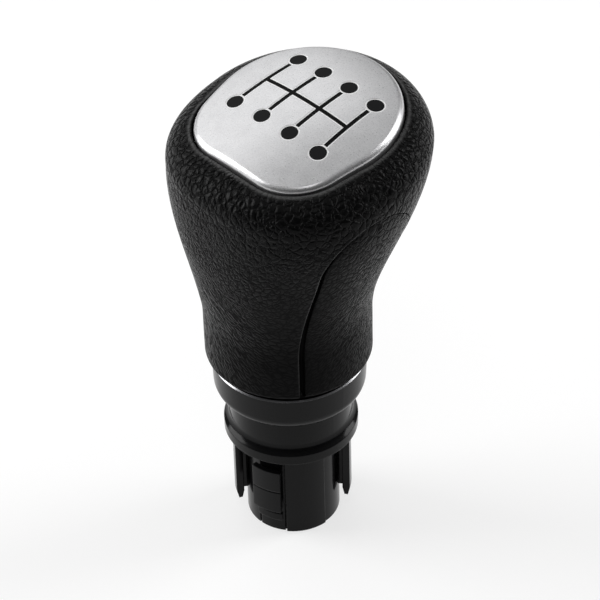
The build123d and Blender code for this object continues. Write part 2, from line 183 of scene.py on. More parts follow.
def split(params, tris, values, level, nudge=1e-5):
    """Cuts triangles along a level of the values that their corners have, and returns new corners too."""
    gap = values - level
    gap = np.where(np.abs(gap) < nudge, nudge, gap)
    side = gap[tris] > 0
    mixed = side.any(1) & ~side.all(1)
    cut, sides = tris[mixed], side[mixed]
    lone = np.where(sides.sum(1) == 1, sides.argmax(1), (~sides).argmax(1))
    row = np.arange(len(cut))
    a, b, c = (cut[row, (lone + k) % 3] for k in range(3))
    edges = np.sort(np.concatenate([np.stack([a, b], 1), np.stack([a, c], 1)]), axis=1)
    pairs, place = np.unique(edges, axis=0, return_inverse=True)
    place = place.reshape(-1)
    share = (gap[pairs[:, 0]] / (gap[pairs[:, 0]] - gap[pairs[:, 1]]))[:, None]
    fresh = params[pairs[:, 0]] * (1 - share) + params[pairs[:, 1]] * share
    ab, ac = place[: len(cut)] + len(params), place[len(cut):] + len(params)
    new = np.concatenate([np.stack([a, ab, ac], 1), np.stack([ab, b, c], 1), np.stack([ab, c, ac], 1)])
    return np.concatenate([params, fresh]), np.concatenate([tris[~mixed], new])


# Nodes that the materials are made of


def start_material(name):
    """New material with its tree and its shader."""
    material = bpy.data.materials.new(name)
    material.use_nodes = True
    return material, material.node_tree, material.node_tree.nodes["Principled BSDF"]


def add_node(tree, kind, values=(), links=(), **settings):
    """Node with its settings, plain input values and links from other sockets."""
    made = tree.nodes.new(kind)
    for name, value in settings.items():
        setattr(made, name, value)
    for key, value in dict(values).items():
        made.inputs[key].default_value = value
    for key, socket in dict(links).items():
        tree.links.new(socket, made.inputs[key])
    return made


def calculate(tree, operation, *terms):
    """Math on sockets or numbers."""
    made = add_node(tree, "ShaderNodeMath", operation=operation)
    for place, term in enumerate(terms):
        if isinstance(term, (int, float)):
            made.inputs[place].default_value = term
        else:
            tree.links.new(term, made.inputs[place])
    return made.outputs[0]


def scaled(tree, place, factors):
    """Coordinates multiplied by a factor for each axis."""
    return add_node(tree, "ShaderNodeVectorMath", {1: factors}, {0: place}, operation="MULTIPLY").outputs[0]


def millimetres(tree):
    """Object coordinates in millimetres."""
    return scaled(tree, add_node(tree, "ShaderNodeTexCoord").outputs["Object"], (1 / MM, 1 / MM, 1 / MM))


def attribute(tree, name, output="Fac"):
    """Value that a mesh carries at its points."""
    return add_node(tree, "ShaderNodeAttribute", attribute_name=name).outputs[output]


def noise(tree, place, scale, detail=2.0, rough=0.5, output="Fac"):
    """Noise on coordinates."""
    values = {"Scale": scale, "Detail": detail, "Roughness": rough}
    return add_node(tree, "ShaderNodeTexNoise", values, {"Vector": place}).outputs[output]


def warped(tree, place, scale, reach):
    """Coordinates bent by noise, so that no pattern on them runs regular."""
    bends = noise(tree, place, scale, output="Color")
    middle = {1: (0.5, 0.5, 0.5)}
    shift = add_node(tree, "ShaderNodeVectorMath", middle, {0: bends}, operation="SUBTRACT").outputs[0]
    factor = {1: (reach, reach, reach)}
    links = {0: shift, 2: place}
    return add_node(tree, "ShaderNodeVectorMath", factor, links, operation="MULTIPLY_ADD").outputs[0]


def remap(tree, value, span, to=(0.0, 1.0), smooth=False):
    """Socket's value, taken from one span to another."""
    made = add_node(tree, "ShaderNodeMapRange", enumerate((*span, *to), 1), {0: value})
    made.interpolation_type = "SMOOTHSTEP" if smooth else "LINEAR"
    return made.outputs[0]


def blend_heights(tree, share, first, second):
    """Height between two, by a socket."""
    return add_node(tree, "ShaderNodeMix", links={"Factor": share, "A": first, "B": second}).outputs[0]


def blend_colours(tree, share, first, second):
    """Colour between two, by a socket."""
    first_socket, second_socket, colour_output = 6, 7, 2
    made = add_node(tree, "ShaderNodeMix", links={"Factor": share}, data_type="RGBA")
    for place, colour in ((first_socket, first), (second_socket, second)):
        if isinstance(colour, tuple):
            made.inputs[place].default_value = (*colour, 1)
        else:
            tree.links.new(colour, made.inputs[place])
    return made.outputs[colour_output]


def bump(tree, shader, height, depth_mm):
    """Bump of a depth in millimetres, into the shader's normal."""
    made = add_node(tree, "ShaderNodeBump", {"Strength": 1.0, "Distance": depth_mm * MM}, {"Height": height})
    tree.links.new(made.outputs[0], shader.inputs["Normal"])
    return made


# Leather's material: sizes of the grain in millimetres and shares of its height
SWELL_WIDTH = 0.42
DRAWN_OUT = (0.46, 0.46, 0.95)
PORE_SCALE = 3.2
PORE_SHARE = 0.15
GRAIN_DEPTH = 0.3
# Darker colour in the cracks is painted shade
CRACK_SHADE_COLOUR = (0.0010, 0.0010, 0.0011)
TOP_COLOUR = (0.0045, 0.0045, 0.0047)
# Pale colour of the painted highlight on the seam's edge and the lip
HIGHLIGHT_COLOUR = (0.2, 0.2, 0.2)
COLOUR_HEIGHTS = (0.1, 0.9)
ROUGH_HEIGHTS = (0.0, 0.45)
CRACK_TO_TOP_ROUGH = (0.75, 0.25)
LEATHER_SHINE = 0.07


def leather_cells(tree, place, scale, crack_width, crack_share, tall):
    """Rounded grain cells with cracks between them, from 0 in a crack to their full height on top."""
    cells = add_node(
        tree, "ShaderNodeTexVoronoi", {"Scale": scale}, {"Vector": place}, feature="DISTANCE_TO_EDGE"
    )
    from_edge = cells.outputs["Distance"]
    crack = remap(tree, from_edge, (0.0, crack_width), (0.0, crack_share), smooth=True)
    swell = remap(tree, from_edge, (0.0, SWELL_WIDTH), (0.0, 1.0 - crack_share), smooth=True)
    return calculate(tree, "MULTIPLY", calculate(tree, "ADD", crack, swell), tall)


def leather_material():
    """Black leather: coarse pebbles on the shoulder, finer drawn-out cells on the flanks."""
    material, tree, shader = start_material("black_leather")
    grain = warped(tree, attribute(tree, "grain", "Vector"), scale=0.8, reach=1.1)
    flow = warped(tree, attribute(tree, "flow", "Vector"), scale=0.7, reach=1.0)
    drawn = scaled(tree, flow, DRAWN_OUT)
    coarse = leather_cells(tree, grain, scale=0.72, crack_width=0.13, crack_share=0.68, tall=1.0)
    middling = leather_cells(tree, grain, scale=1.0, crack_width=0.14, crack_share=0.55, tall=0.58)
    fine = leather_cells(tree, drawn, scale=1.0, crack_width=0.17, crack_share=0.65, tall=0.64)
    pebble = attribute(tree, "pebble")
    lower = blend_heights(tree, remap(tree, pebble, (0.0, 0.5)), fine, middling)
    height = blend_heights(tree, remap(tree, pebble, (0.5, 1.0)), lower, coarse)
    pores = noise(tree, millimetres(tree), PORE_SCALE)
    height = calculate(tree, "MULTIPLY_ADD", pores, PORE_SHARE, height)
    height = calculate(tree, "MULTIPLY", height, attribute(tree, "relief"))
    # Darker in the cracks than on the tops: painted shade in the cracks
    colour = blend_colours(tree, remap(tree, height, COLOUR_HEIGHTS), CRACK_SHADE_COLOUR, TOP_COLOUR)
    # Paler along the seam's edge and the lip: a painted highlight
    colour = blend_colours(tree, attribute(tree, "painted_highlight"), colour, HIGHLIGHT_COLOUR)
    rough = remap(tree, height, ROUGH_HEIGHTS, CRACK_TO_TOP_ROUGH)
    tree.links.new(colour, shader.inputs["Base Color"])
    tree.links.new(rough, shader.inputs["Roughness"])
    shader.inputs["Specular IOR Level"].default_value = LEATHER_SHINE
    bump(tree, shader, height, GRAIN_DEPTH)
    return material


# Other materials: the span that most of a noise's values lie in, and the detail of fine textures
NOISE_SPAN = (0.3, 0.7)
FINE_DETAIL = 3.0

# Silver lacquer
FLAKE_SCALE = 3.6
FLAKE_ROUGH = 0.7
FLAKE_DEPTH = 0.012
SILVER_CLOUD_SCALE = 0.35
SILVER_CLOUD_SHARE = 0.25
SILVER_SPAN = (0.36, 0.64)
SILVER_DARK = (0.62, 0.62, 0.63)
SILVER_LIGHT = (0.76, 0.76, 0.77)
SILVER_ROUGH = (0.27, 0.37)
SILVER_METALLIC = 0.85

# Black plastics, and the painted highlight on the cup's edge
BLACK_DARK = (0.004, 0.004, 0.0043)
BLACK_LIGHT = (0.006, 0.006, 0.0065)
PLASTIC_CLOUD_SCALE = 0.12
PLASTIC_SMOOTHER, PLASTIC_ROUGHER = 0.04, 0.05
BEVEL_SAMPLES = 6
RIM_BELOW = 0.04
RIM_FADE = 0.06
RIM_HIGHLIGHT_COLOUR = (0.28, 0.28, 0.29)

# Metals
TURNED_MARKS = (0.6, 0.6, 9.0)
PLAIN_MARKS = (2.0, 2.0, 2.0)
MARK_DEPTH = 0.01
MARK_SHADE = 0.8
METAL_SMOOTHER, METAL_ROUGHER = 0.05, 0.08


def silver_material():
    """Satin silver lacquer with fine metal flake."""
    material, tree, shader = start_material("silver_lacquer")
    place = millimetres(tree)
    flake = noise(tree, place, FLAKE_SCALE, rough=FLAKE_ROUGH)
    cloud = noise(tree, place, SILVER_CLOUD_SCALE)
    flake_part = calculate(tree, "MULTIPLY", flake, 1.0 - SILVER_CLOUD_SHARE)
    mixed = calculate(tree, "MULTIPLY_ADD", cloud, SILVER_CLOUD_SHARE, flake_part)
    colour = blend_colours(tree, remap(tree, mixed, SILVER_SPAN), SILVER_DARK, SILVER_LIGHT)
    tree.links.new(colour, shader.inputs["Base Color"])
    tree.links.new(remap(tree, flake, NOISE_SPAN, SILVER_ROUGH), shader.inputs["Roughness"])
    shader.inputs["Metallic"].default_value = SILVER_METALLIC
    bump(tree, shader, flake, FLAKE_DEPTH)
    return material


def plastic_material(name, dark, light, rough, texture_mm, depth_mm, shine, edge_mm=0.0):
    """Moulded plastic with a fine texture and slightly rounded edges."""
    material, tree, shader = start_material(name)
    place = millimetres(tree)
    grain = noise(tree, place, 1.0 / texture_mm, FINE_DETAIL)
    cloud = noise(tree, place, PLASTIC_CLOUD_SCALE)
    roughness = remap(tree, cloud, NOISE_SPAN, (rough - PLASTIC_SMOOTHER, rough + PLASTIC_ROUGHER))
    tree.links.new(blend_colours(tree, cloud, dark, light), shader.inputs["Base Color"])
    tree.links.new(roughness, shader.inputs["Roughness"])
    shader.inputs["Specular IOR Level"].default_value = shine
    relief = bump(tree, shader, grain, depth_mm)
    if edge_mm:
        edges = add_node(tree, "ShaderNodeBevel", {"Radius": edge_mm * MM}, samples=BEVEL_SAMPLES)
        tree.links.new(edges.outputs[0], relief.inputs["Normal"])
    return material


def paint_rim_highlight(material):
    """Painted highlight: a pale, metallic line on the bevelled upper edge of the cup."""
    tree = material.node_tree
    shader = tree.nodes["Principled BSDF"]
    plain = shader.inputs["Base Color"].links[0].from_socket
    parts = add_node(tree, "ShaderNodeSeparateXYZ", links={0: millimetres(tree)}).outputs
    squares = [calculate(tree, "POWER", parts[axis], 2.0) for axis in ("X", "Y")]
    reach = calculate(tree, "SQRT", calculate(tree, "ADD", *squares))
    foot_z = CUP_TOP_Z - CUP_BEVEL - RIM_BELOW
    inner_r = CUP_R - CUP_BEVEL - RIM_FADE
    high = remap(tree, parts["Z"], (foot_z, foot_z + RIM_FADE))
    outer = remap(tree, reach, (inner_r, inner_r + RIM_FADE))
    rim = calculate(tree, "MULTIPLY", high, outer)
    # Pale metallic colour on the cup's edge: a painted highlight
    tree.links.new(blend_colours(tree, rim, plain, RIM_HIGHLIGHT_COLOUR), shader.inputs["Base Color"])
    tree.links.new(rim, shader.inputs["Metallic"])


def metal_material(name, colour, rough, marks):
    """Plain metal with fine marks, stretched round the axis or even all over."""
    material, tree, shader = start_material(name)
    grain = noise(tree, scaled(tree, millimetres(tree), marks), 1.0, FINE_DETAIL)
    darker = tuple(MARK_SHADE * part for part in colour)
    roughness = remap(tree, grain, NOISE_SPAN, (rough - METAL_SMOOTHER, rough + METAL_ROUGHER))
    tree.links.new(blend_colours(tree, grain, darker, colour), shader.inputs["Base Color"])
    tree.links.new(roughness, shader.inputs["Roughness"])
    shader.inputs["Metallic"].default_value = 1.0
    bump(tree, shader, grain, MARK_DEPTH)
    return material


leather = leather_material()
silver = silver_material()
white_line = plastic_material(
    "white_line",
    dark=(0.90, 0.90, 0.90),
    light=(0.94, 0.94, 0.94),
    rough=0.5,
    texture_mm=0.3,
    depth_mm=0.004,
    shine=0.4,
)
dot_black = plastic_material(
    "dot_black",
    dark=(0.008, 0.008, 0.0085),
    light=(0.011, 0.011, 0.0115),
    rough=0.5,
    texture_mm=0.25,
    depth_mm=0.008,
    shine=0.07,
)
line_black = plastic_material(
    "line_black",
    dark=(0.004, 0.004, 0.004),
    light=(0.006, 0.006, 0.006),
    rough=0.5,
    texture_mm=0.25,
    depth_mm=0.008,
    shine=0.05,
)
satin_black = plastic_material(
    "satin_black",
    dark=BLACK_DARK,
    light=BLACK_LIGHT,
    rough=0.17,
    texture_mm=0.35,
    depth_mm=0.003,
    shine=0.12,
    edge_mm=0.35,
)
trim_black = plastic_material(
    "trim_black",
    dark=BLACK_DARK,
    light=BLACK_LIGHT,
    rough=0.22,
    texture_mm=0.35,
    depth_mm=0.003,
    shine=0.12,
    edge_mm=0.1,
)
paint_rim_highlight(trim_black)
core_black = plastic_material(
    "core_black",
    dark=(0.002, 0.002, 0.002),
    light=(0.004, 0.004, 0.004),
    rough=0.7,
    texture_mm=0.4,
    depth_mm=0.01,
    shine=0.03,
)
spring_steel = metal_material("spring_steel", (0.52, 0.52, 0.54), rough=0.34, marks=PLAIN_MARKS)
turned_metal = metal_material("turned_metal", (0.68, 0.68, 0.70), rough=0.3, marks=TURNED_MARKS)


# Leather cover: lip rolled into the plate's gap, and hem turned in below
LIP_R = 0.45
LIP_DEPTH = 2.4
HEM_TURN = 1.0
HEM_ARC = HEM_ROUND * math.pi / 2
TURN_IN = 0.9

# Lengths along the cover's profile from the hem up, and the steps of the grid on each stretch
BODY_S = WIDEST_Z - HEM_Z - HEM_ROUND
SHOULDER_S = 12.0
LIP_S = 1.5
SHOULDER_END_S = BODY_S + SHOULDER_S
STRETCHES = (
    (-HEM_ARC, 3),
    (0.0, 7),
    (BODY_S, 131),
    (SHOULDER_END_S, 33),
    (SHOULDER_END_S + LIP_S, 8),
    (SHOULDER_END_S + 2 * LIP_S, 4),
)
COLUMNS = 448
ANGLES = 1441
HALVINGS = 40
LEVEL_TURN = 1e-4
SMALL_STEP = 1e-4
SHORTEST = 1e-12
WELD_METRES = 1e-7

# Seam: the slot is open on the rear leg and closes over the arch, in degrees round the arch
SEAM = 1.0
LEAST_SEAM = 0.02
SLOT_CLOSING = (30.0, 95.0)
STEP_FADING = (70.0, 115.0)
FRONT_SLOT = 0.18
FRONT_STEP = 0.1
HEM_STEP = 0.25
HEM_STEP_HEIGHT = 7.0
HEM_FLARE = 0.15
HEM_FLARE_HEIGHT = 0.7
ON_ARCH = 1e-4
ON_SEAM = 1e-3

# Edges of the panels at the seam, and the distances from it at which the grid is cut
MAIN_SWELL = 0.35
MAIN_SWELL_REACH = 1.8
MAIN_ROUND = 0.5
SIDE_SINK = 0.6
SIDE_SINK_REACH = 2.8
SIDE_ROUND = 0.4
SIDE_ROUND_DEPTH = 0.25
MAIN_CUTS = (0.0, 0.04, 0.12, 0.25, 0.5, 1.0, 1.8)
SIDE_CUTS = (0.0, -0.06, -0.16, -0.4, -0.8, -1.4)

# Run of the grain: lines that dip at the rear corner beside the right panel
REAR_CORNER = math.radians(132.0)
FLOW_R = 22.0
FLOW_RISE = 34.0
FLOW_TURN = math.radians(130.0)
GRAIN_STRETCH = 0.7
SIDE_FINENESS = 1.5

# Pebbles: where they start and get coarse, lower at both rear corners
PEBBLE_Z = 70.0
PEBBLE_DIP = 10.0
PEBBLE_DIP_TURN = 0.55
PEBBLE_FADE = 16.0
COARSE_Z = (80.0, 98.0)

# Relief: less at the edges, the rear corner and low down, more on the flanks
EDGE_RELIEF = 0.4
LIP_SMOOTH = (0.1, 1.1)
HEM_SMOOTH = (-HEM_ARC, 2.0 - HEM_ARC)
CALM = 0.6
CALM_TURN = 0.6
CALM_Z = (72.0, 96.0)
FLANK = 0.7
FLANK_TURN = 0.95
LOW_RELIEF = 0.6
LOW_RELIEF_Z = (50.0, 68.0)
SIDE_RELIEF = 0.7

# Painted highlight along the main panel's edge at the seam, and along the lip
SEAM_HIGHLIGHT_WIDTH = 0.17
LOW_HIGHLIGHT = 0.3
LOW_HIGHLIGHT_Z = (62.0, 80.0)
LIP_HIGHLIGHT = 0.4
LIP_HIGHLIGHT_AT = 0.1
LIP_HIGHLIGHT_WIDTH = 0.5


def shoulder_ends():
    """For a round of angles: where the shoulder's curve stops at the plate, and the level land after it."""
    theta = np.linspace(-math.pi, math.pi, ANGLES)
    rim = plate_outline(PLATE_GAP) + [0, PLATE_FORWARD]
    angle = np.arctan2(rim[:, 0], rim[:, 1])
    order = np.argsort(angle)
    reach = np.interp(theta, angle[order], np.hypot(*rim.T)[order], period=2 * math.pi)
    stretch = rear_stretch(theta, np.full_like(theta, WIDEST_Z))
    low, high = np.zeros_like(theta), np.full_like(theta, math.pi / 2)
    for _ in range(HALVINGS):
        middle = (low + high) / 2
        shoulder = (HEAD_R - SHOULDER_R * (1 - np.cos(middle))) * stretch
        outside = shoulder > reach + LIP_R * (1 + np.cos(middle))
        low, high = np.where(outside, middle, low), np.where(outside, high, middle)
    stop = (low + high) / 2
    land = np.maximum((HEAD_R - SHOULDER_R) * stretch - reach - LIP_R, 0.0)
    return theta, stop, land * (stop > math.pi / 2 - LEVEL_TURN)


ENDS = shoulder_ends()


def head_point(theta, s):
    """Point of the leather's outside at an angle and a length along the profile from the hem up."""
    stop = np.interp(theta, ENDS[0], ENDS[1], period=2 * math.pi)
    land = np.interp(theta, ENDS[0], ENDS[2], period=2 * math.pi)
    # hem, turned in below
    turn = np.clip(-s / HEM_ARC, 0, 1) * math.pi / 2
    under = np.clip(-s - HEM_ARC, 0, HEM_TURN)
    z = np.clip(HEM_Z + HEM_ROUND + s, HEM_Z + HEM_ROUND, WIDEST_Z)
    swell = WAIST_R + (HEAD_R - WAIST_R) * ease(z, WAIST_Z, WIDEST_Z)
    radius = swell - HEM_ROUND * (1 - np.cos(turn)) - under
    z = z - HEM_ROUND * np.sin(turn)
    # shoulder and the land up to the plate
    run = np.clip((s - BODY_S) / SHOULDER_S, 0, 1) * (SHOULDER_R * stop + land)
    bend = np.minimum(run / SHOULDER_R, stop)
    inset = np.maximum(run - SHOULDER_R * stop, 0)
    radius = radius - SHOULDER_R * (1 - np.cos(bend))
    rise = SHOULDER_R * np.sin(bend)
    # lip, rolled down into the gap
    past = (s - SHOULDER_END_S) / LIP_S
    roll = np.clip(past, 0, 1)
    drop = np.clip(past - 1, 0, 1) * LIP_DEPTH
    angle = stop + (math.pi - stop) * roll
    inset = inset + LIP_R * (np.cos(stop) - np.cos(angle)) * (roll > 0)
    rise = rise + LIP_R * (np.sin(angle) - np.sin(stop)) * (roll > 0) - drop
    return section(theta, z, radius, rise, inset)


def outward(theta, s):
    """Unit normals of the leather's outside."""
    spots = head_point(theta, s)
    normal = np.cross(head_point(theta, s + SMALL_STEP) - spots, head_point(theta + SMALL_STEP, s) - spots)
    return normal / np.maximum(np.linalg.norm(normal, axis=1, keepdims=True), SHORTEST)


def arch_distance(points):
    """Distance outside the arch's outline, seen along X, below zero inside it."""
    y, z = points[:, 1] - ARCH_Y, points[:, 2]
    return np.where(z < SPRING_Z, np.abs(y), np.hypot(y, z - SPRING_Z)) - ARCH_HALF


def seam_state(points):
    """How open the seam's slot is and how deep its step: full on the rear leg, little on the front one."""
    y, z = points[:, 1] - ARCH_Y, points[:, 2]
    turn = np.degrees(np.arctan2(np.maximum(z - SPRING_Z, 0.0), -y))
    rear = y < 0
    slot = np.where(rear, 1.0 - ease(turn, *SLOT_CLOSING), FRONT_SLOT)
    step = np.where(rear, 1.0 - ease(turn, *STEP_FADING), FRONT_STEP)
    return slot, step * (HEM_STEP + (1.0 - HEM_STEP) * ease(z, HEM_Z, HEM_Z + HEM_STEP_HEIGHT))


def seam_width(points):
    """Width of the seam's slot: wide at the hem, closing towards the arch's top."""
    flare = HEM_FLARE * np.exp(-np.maximum(points[:, 2] - HEM_Z, 0.0) / HEM_FLARE_HEIGHT)
    return LEAST_SEAM + SEAM * seam_state(points)[0] + flare


def edge_drop(distance, radius):
    """How far a rounded edge has dropped at a distance from it, from 1 on the edge to 0 at the radius."""
    near = 1.0 - np.clip(distance, 0.0, radius) / radius
    return 1.0 - np.sqrt(1.0 - near**2)


def leather_height(out, points):
    """How far the leather stands off its plain surface, by distance outside the arch."""
    step = seam_state(points)[1]
    swell = MAIN_SWELL * np.exp(-np.maximum(out, 0) / MAIN_SWELL_REACH)
    main = step * (swell - MAIN_ROUND * edge_drop(out, MAIN_ROUND))
    into = np.maximum(-out - seam_width(points), 0.0)
    sink = SIDE_SINK * np.exp(-into / SIDE_SINK_REACH)
    side = -step * (sink + SIDE_ROUND_DEPTH * edge_drop(into, SIDE_ROUND))
    return np.where(out > -ON_ARCH, main, side)


def flow_wave(theta):
    """Height of the grain's lines round the head: low at one rear corner, rising to both sides of it."""
    turn = np.abs((theta - REAR_CORNER + math.pi) % (2 * math.pi) - math.pi)
    return FLOW_RISE * ease(turn, 0.0, FLOW_TURN)


def cover_grid():
    """Triangles over the whole cover, with an angle and a length along the profile at each corner."""
    rows = [-HEM_ARC - HEM_TURN]
    for end, steps in STRETCHES:
        rows.extend(np.linspace(rows[-1], end, steps + 1)[1:])
    angles = np.linspace(0, 2 * math.pi, COLUMNS + 1)
    params = np.stack(np.meshgrid(angles, rows), -1).reshape(-1, 2)
    wide = COLUMNS + 1
    col, row = np.meshgrid(np.arange(COLUMNS), np.arange(len(rows) - 1))
    a = (row * wide + col).ravel()
    b, c, d = a + 1, a + wide + 1, a + wide
    return params, np.concatenate([np.stack([a, c, b], 1), np.stack([a, d, c], 1)])


def cut_along_seam(params, tris):
    """The grid, cut along both edges of the seam's slot and beside them."""
    for level in MAIN_CUTS:
        params, tris = split(params, tris, arch_distance(head_point(*params.T)), level)
    for level in SIDE_CUTS:
        spots = head_point(*params.T)
        params, tris = split(params, tris, arch_distance(spots) + seam_width(spots), level)
    return params, tris


def leather_pebble(theta, z):
    """How coarse the grain is: 0 for fine cells, a half for middling ones and 1 for pebbles."""
    corners = (REAR_CORNER, 2 * math.pi - REAR_CORNER)
    lowest = PEBBLE_Z - PEBBLE_DIP * sum(bell(theta - corner, PEBBLE_DIP_TURN) for corner in corners)
    return 0.5 * ease(z, lowest, lowest + PEBBLE_FADE) + 0.5 * ease(z, *COARSE_Z)


def leather_relief(theta, s, z):
    """How strong the grain's relief is."""
    smooth_edges = ease(SHOULDER_END_S - s, *LIP_SMOOTH) * ease(s, *HEM_SMOOTH)
    calm = bell(theta - REAR_CORNER, CALM_TURN) * (1.0 - ease(z, *CALM_Z))
    flank = 1.0 - bell(theta - REAR_CORNER, FLANK_TURN)
    low = LOW_RELIEF + (1.0 - LOW_RELIEF) * ease(z, *LOW_RELIEF_Z)
    return (EDGE_RELIEF + (1.0 - EDGE_RELIEF) * smooth_edges) * (1.0 + FLANK * flank - CALM * calm) * low


def leather_highlight(s, spots, out):
    """How much painted highlight the leather has, along the seam's edge and the lip."""
    seam = bell(np.maximum(out, 0.0), SEAM_HIGHLIGHT_WIDTH) * (out > -ON_ARCH) * seam_state(spots)[1]
    less_below = LOW_HIGHLIGHT + (1.0 - LOW_HIGHLIGHT) * ease(spots[:, 2], *LOW_HIGHLIGHT_Z)
    return seam * less_below + LIP_HIGHLIGHT * bell(SHOULDER_END_S - s - LIP_HIGHLIGHT_AT, LIP_HIGHLIGHT_WIDTH)


def make_leather():
    """The main panel and the two side panels, cut from one surface along the arch."""
    params, tris = cut_along_seam(*cover_grid())
    theta, s = params.T
    spots = head_point(theta, s)
    normal = outward(theta, s)
    out, seam = arch_distance(spots), seam_width(spots)
    raised = spots + normal * leather_height(out, spots)[:, None]
    across, ahead = FLOW_R * np.sin(theta), FLOW_R * np.cos(theta)
    looks = {
        "flow": np.stack([across, ahead, s - flow_wave(theta)], -1),
        "grain": np.stack([across, ahead, GRAIN_STRETCH * s], -1),
        "pebble": leather_pebble(theta, spots[:, 2]),
        "relief": leather_relief(theta, s, spots[:, 2]),
        # painted highlight along the seam's edge and the lip
        "painted_highlight": leather_highlight(s, spots, out),
    }
    side_looks = dict(looks, flow=looks["flow"] * SIDE_FINENESS, relief=looks["relief"] * SIDE_RELIEF)
    centre = head_point(*params[tris].mean(1).T)
    is_main = arch_distance(centre) > 0
    is_side = arch_distance(centre) < -seam_width(centre)
    panels = (
        ("leather_main", is_main, looks),
        ("leather_side_right", is_side & (centre[:, 0] > 0), side_looks),
        ("leather_side_left", is_side & (centre[:, 0] < 0), side_looks),
    )
    return [make_panel(node, raised, normal, tris[chosen], out, seam, own) for node, chosen, own in panels]


def make_panel(node, points, normal, tris, out, seam, looks):
    """One panel of the cover, with its cut edges turned in."""
    used, local = np.unique(tris, return_inverse=True)
    tris = local.reshape(-1, 3)
    points, normal, out, seam = points[used], normal[used], out[used], seam[used]
    edges = np.concatenate([tris[:, [0, 1]], tris[:, [1, 2]], tris[:, [2, 0]]])
    _, place, count = np.unique(np.sort(edges, axis=1), axis=0, return_inverse=True, return_counts=True)
    lone = edges[count[place.reshape(-1)] == 1]
    on_seam = (np.abs(out) < ON_SEAM) | (np.abs(out + seam) < ON_SEAM)
    lone = lone[on_seam[lone].all(1)]
    rim, rim_local = np.unique(lone, return_inverse=True)
    low = rim_local.reshape(-1, 2) + len(points)
    walls = np.concatenate([
        np.stack([lone[:, 1], lone[:, 0], low[:, 0]], 1),
        np.stack([lone[:, 1], low[:, 0], low[:, 1]], 1),
    ])
    points = np.concatenate([points, points[rim] - normal[rim] * TURN_IN])
    piece = make_object(node + "_cover", points, np.concatenate([tris, walls]), "head", [leather])
    for label, values in looks.items():
        values = np.concatenate([values[used], values[used][rim]]).astype(np.float32)
        kind, field = ("FLOAT_VECTOR", "vector") if values.ndim == 2 else ("FLOAT", "value")
        piece.data.attributes.new(label, kind, "POINT").data.foreach_set(field, values.ravel())
    weld(piece)
    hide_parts(node)
    return piece


def weld(piece):
    """Joins the points that lie together, such as at the closing line in front."""
    work = bmesh.new()
    work.from_mesh(piece.data)
    bmesh.ops.remove_doubles(work, verts=work.verts, dist=WELD_METRES)
    work.to_mesh(piece.data)
    work.free()


main_cover, right_cover, left_cover = make_leather()


# Shift plate
SKIRT_SHARES = (1.0, 0.6, 0.25)
RIM_RINGS = 11
DOME_RINGS = 44
LAST_RING = 0.02
ON_DOME = 0.02
BORDER_MARGIN = 0.02
SHARP_ANGLE = math.radians(40)


def dome_height(plan):
    """Height of the dome over the plate's rim plane."""
    return PLATE_CROWN - DOME_R + np.sqrt(DOME_R**2 - (plan**2).sum(-1))


def gate_ends(column):
    """Rear and front dot centres of a gate line."""
    step = column - (GATES - 1) / 2
    rear = np.array([step * REAR_PITCH, PATTERN_FORWARD - PATTERN_HALF])
    front = np.array([step * FRONT_PITCH, PATTERN_FORWARD + PATTERN_HALF])
    return rear, front


def bar_distance(plan, start, end):
    """Distance outside a flat bar between two points."""
    run = end - start
    length = np.linalg.norm(run)
    along = run / length
    offset = plan - (start + end) / 2
    across = offset[:, 0] * along[1] - offset[:, 1] * along[0]
    over = np.stack([np.abs(offset @ along) - length / 2, np.abs(across) - LINE_W / 2], -1)
    return np.hypot(*np.maximum(over, 0).T) + np.minimum(over.max(1), 0)


def pattern_distance(plan):
    """Distance outside the gate pattern."""
    best = np.full(len(plan), np.inf)
    middles = []
    for column in range(GATES):
        rear, front = gate_ends(column)
        middles.append((rear + front) / 2)
        along = (front - rear) / np.linalg.norm(front - rear)
        cut = along * (DOT_R + LINE_END_GAP)
        for centre in (rear, front):
            best = np.minimum(best, np.hypot(*(plan - centre).T) - DOT_R)
        best = np.minimum(best, bar_distance(plan, rear + cut, front - cut))
    return np.minimum(best, bar_distance(plan, middles[0], middles[-1]))


def plate_rings():
    """Plans and heights of the plate's rings, from the skirt's foot over the rim to near the crown."""
    outline = plate_outline(0.0)
    rings = [(outline, np.full(len(outline), -SKIRT * share)) for share in SKIRT_SHARES]
    for turn in np.linspace(0, math.pi / 2, RIM_RINGS):
        plan = plate_outline(-RIM_R * (1 - math.cos(turn)))
        rings.append((plan, dome_height(plan) - RIM_R * (1 - math.sin(turn))))
    inner = plate_outline(-RIM_R)
    for share in np.linspace(1, LAST_RING, DOME_RINGS)[1:]:
        rings.append((inner * share, dome_height(inner * share)))
    return rings


def make_plate():
    """Domed plate with a rolled rim, and the pattern's pale border let into it."""
    rings = plate_rings()
    crown = np.zeros((1, 2))
    plan = np.concatenate([ring for ring, _ in rings] + [crown])
    height = np.concatenate([level for _, level in rings] + [dome_height(crown)])
    wide = len(rings[0][0])
    col, row = np.meshgrid(np.arange(wide), np.arange(len(rings) - 1))
    a = (row * wide + col).ravel()
    b = (row * wide + (col + 1) % wide).ravel()
    last = (len(rings) - 1) * wide + np.arange(wide)
    tris = np.concatenate([
        np.stack([a, b, b + wide], 1),
        np.stack([a, b + wide, a + wide], 1),
        np.stack([last, np.roll(last, -1), np.full(wide, len(plan) - 1)], 1),
    ])
    params = np.concatenate([plan, height[:, None]], 1)
    for level in (BORDER, BORDER - BORDER_SLOPE):
        params, tris = split(params, tris, pattern_distance(params[:, :2]), level)
    plan, height = params[:, :2], params[:, 2]
    inside = pattern_distance(plan) < BORDER - BORDER_MARGIN
    on_top = np.abs(height - dome_height(plan)) < ON_DOME
    height = np.where(on_top, dome_height(plan), height) - BORDER_DEPTH * inside
    pale = pattern_distance(plan[tris].mean(1)) < BORDER
    points = on_plate(plan, height)
    plate = make_object("shift_plate_cover", points, tris, "head", [silver, white_line], pale)
    plate.data.set_sharp_from_angle(angle=SHARP_ANGLE)
    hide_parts("shift_plate")


make_plate()


